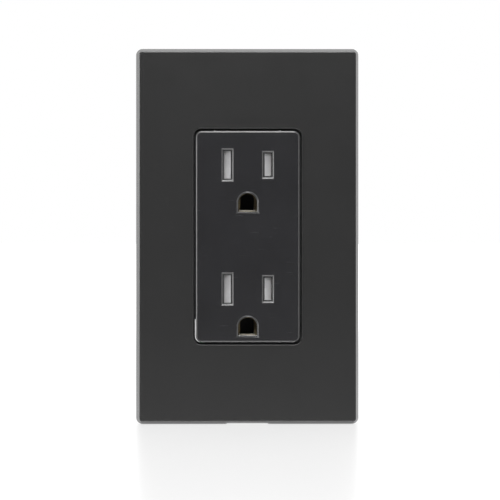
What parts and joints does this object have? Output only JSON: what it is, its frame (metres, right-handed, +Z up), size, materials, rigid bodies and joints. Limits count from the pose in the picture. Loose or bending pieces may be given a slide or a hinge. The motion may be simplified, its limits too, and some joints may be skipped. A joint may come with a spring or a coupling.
{
  "type": "duplex wall outlet",
  "caption": "Rectangular-face duplex wall outlet with shuttered blade slots, round ground holes, a steel strap and a screwless clip-on wall plate.",
  "frame": {"origin": "centre of the two box screws in the wall plane, which is also the centre of the wall plate's back", "axes": "+Y into the wall, -Y towards the room, +Z up, +X to the right seen from the room"},
  "size_m": [0.0698, 0.0264, 0.1178],
  "materials": {
    "cover_plastic": "glossy charcoal, moulded",
    "face_plastic": "glossy charcoal, moulded",
    "subplate_plastic": "satin black, moulded",
    "body_plastic": "matt black, glass-filled",
    "shutter_plastic": "light grey, slippery",
    "carrier_plastic": "natural, moulded",
    "strap_steel": "zinc-plated",
    "screw_steel": "zinc-plated",
    "dark_screw": "black painted",
    "spring_steel": "drawn wire",
    "brass": "stamped",
    "brass_screw": "brass-plated",
    "nickel_screw": "nickel-plated",
    "clamp_steel": "zinc-plated, stamped",
    "green_screw": "green dyed plating",
    "fibre": "pressed fibre"
  },
  "bodies": {
    "device": {"face": "face_plastic", "mounting_plate": "subplate_plastic", "back_body": "body_plastic", "shutter_carrier_upper": "carrier_plastic", "shutter_carrier_lower": "carrier_plastic", "strap": "strap_steel", "mounting_screw_upper": "screw_steel", "mounting_screw_lower": "screw_steel", "body_screws": "screw_steel", "plate_screw_upper": "dark_screw", "plate_screw_lower": "dark_screw", "shutter_spring_upper": "spring_steel", "shutter_spring_lower": "spring_steel", "hot_contact_strip": "brass", "neutral_contact_strip": "brass", "ground_contact_upper": "brass", "ground_contact_lower": "brass", "ground_rivets": "brass", "screw_retainer_upper": "fibre", "screw_retainer_lower": "fibre"},
    "cover": {"cover": "cover_plastic"},
    "ground_clamp": {"ground_clamp_plate": "clamp_steel"},
    "ground_screw": {"ground_screw": "green_screw"},
    "hot_shutter_upper": {"hot_shutter_upper": "shutter_plastic"},
    "hot_clamp_upper": {"hot_clamp_plate_upper": "clamp_steel"},
    "hot_screw_upper": {"hot_terminal_screw_upper": "brass_screw"},
    "neutral_shutter_upper": {"neutral_shutter_upper": "shutter_plastic"},
    "neutral_clamp_upper": {"neutral_clamp_plate_upper": "clamp_steel"},
    "neutral_screw_upper": {"neutral_terminal_screw_upper": "nickel_screw"},
    "hot_shutter_lower": {"hot_shutter_lower": "shutter_plastic"},
    "hot_clamp_lower": {"hot_clamp_plate_lower": "clamp_steel"},
    "hot_screw_lower": {"hot_terminal_screw_lower": "brass_screw"},
    "neutral_shutter_lower": {"neutral_shutter_lower": "shutter_plastic"},
    "neutral_clamp_lower": {"neutral_clamp_plate_lower": "clamp_steel"},
    "neutral_screw_lower": {"neutral_terminal_screw_lower": "nickel_screw"}
  },
  "joints": [
    {"name": "cover_pull", "type": "slide", "parent": "device", "child": "cover", "axis": [0, -1, 0], "range_m": [0, 0.012]},
    {"name": "hot_shutter_upper_slide", "type": "slide", "parent": "device", "child": "hot_shutter_upper", "axis": [-1, 0, 0], "range_m": [0, 0.0029], "stiffness_N_per_m": 150, "springref_m": -0.004, "deforming": ["shutter_spring_upper"]},
    {"name": "neutral_shutter_upper_slide", "type": "slide", "parent": "device", "child": "neutral_shutter_upper", "axis": [1, 0, 0], "range_m": [0, 0.0029]},
    {"name": "hot_shutter_lower_slide", "type": "slide", "parent": "device", "child": "hot_shutter_lower", "axis": [-1, 0, 0], "range_m": [0, 0.0029], "stiffness_N_per_m": 150, "springref_m": -0.004, "deforming": ["shutter_spring_lower"]},
    {"name": "neutral_shutter_lower_slide", "type": "slide", "parent": "device", "child": "neutral_shutter_lower", "axis": [1, 0, 0], "range_m": [0, 0.0029]},
    {"name": "hot_clamp_upper_slide", "type": "slide", "parent": "device", "child": "hot_clamp_upper", "axis": [1, 0, 0], "range_m": [0, 0.00238]},
    {"name": "hot_screw_upper_turn", "type": "hinge", "parent": "hot_clamp_upper", "child": "hot_screw_upper", "pos_m": [0.0134, 0.0077, 0.0145], "axis": [1, 0, 0], "range_deg": [0, 1080]},
    {"name": "hot_clamp_lower_slide", "type": "slide", "parent": "device", "child": "hot_clamp_lower", "axis": [1, 0, 0], "range_m": [0, 0.00238]},
    {"name": "hot_screw_lower_turn", "type": "hinge", "parent": "hot_clamp_lower", "child": "hot_screw_lower", "pos_m": [0.0134, 0.0077, -0.0145], "axis": [1, 0, 0], "range_deg": [0, 1080]},
    {"name": "neutral_clamp_upper_slide", "type": "slide", "parent": "device", "child": "neutral_clamp_upper", "axis": [-1, 0, 0], "range_m": [0, 0.00238]},
    {"name": "neutral_screw_upper_turn", "type": "hinge", "parent": "neutral_clamp_upper", "child": "neutral_screw_upper", "pos_m": [-0.0134, 0.0077, 0.0145], "axis": [-1, 0, 0], "range_deg": [0, 1080]},
    {"name": "neutral_clamp_lower_slide", "type": "slide", "parent": "device", "child": "neutral_clamp_lower", "axis": [-1, 0, 0], "range_m": [0, 0.00238]},
    {"name": "neutral_screw_lower_turn", "type": "hinge", "parent": "neutral_clamp_lower", "child": "neutral_screw_lower", "pos_m": [-0.0134, 0.0077, -0.0145], "axis": [-1, 0, 0], "range_deg": [0, 1080]},
    {"name": "ground_clamp_slide", "type": "slide", "parent": "device", "child": "ground_clamp", "axis": [-1, 0, 0], "range_m": [0, 0.00238]},
    {"name": "ground_screw_turn", "type": "hinge", "parent": "ground_clamp", "child": "ground_screw", "pos_m": [-0.0115, 0.0066, -0.0316], "axis": [-1, 0, 0], "range_deg": [0, 1080]}
  ],
  "couplings": [
    {"joint": "neutral_shutter_upper_slide", "follows": "hot_shutter_upper_slide", "ratio": 1},
    {"joint": "neutral_shutter_lower_slide", "follows": "hot_shutter_lower_slide", "ratio": 1},
    {"joint": "hot_screw_upper_turn", "follows": "hot_clamp_upper_slide", "rad_per_m": 7915.8},
    {"joint": "hot_screw_lower_turn", "follows": "hot_clamp_lower_slide", "rad_per_m": 7915.8},
    {"joint": "neutral_screw_upper_turn", "follows": "neutral_clamp_upper_slide", "rad_per_m": 7915.8},
    {"joint": "neutral_screw_lower_turn", "follows": "neutral_clamp_lower_slide", "rad_per_m": 7915.8},
    {"joint": "ground_screw_turn", "follows": "ground_clamp_slide", "rad_per_m": 7915.8}
  ]
}
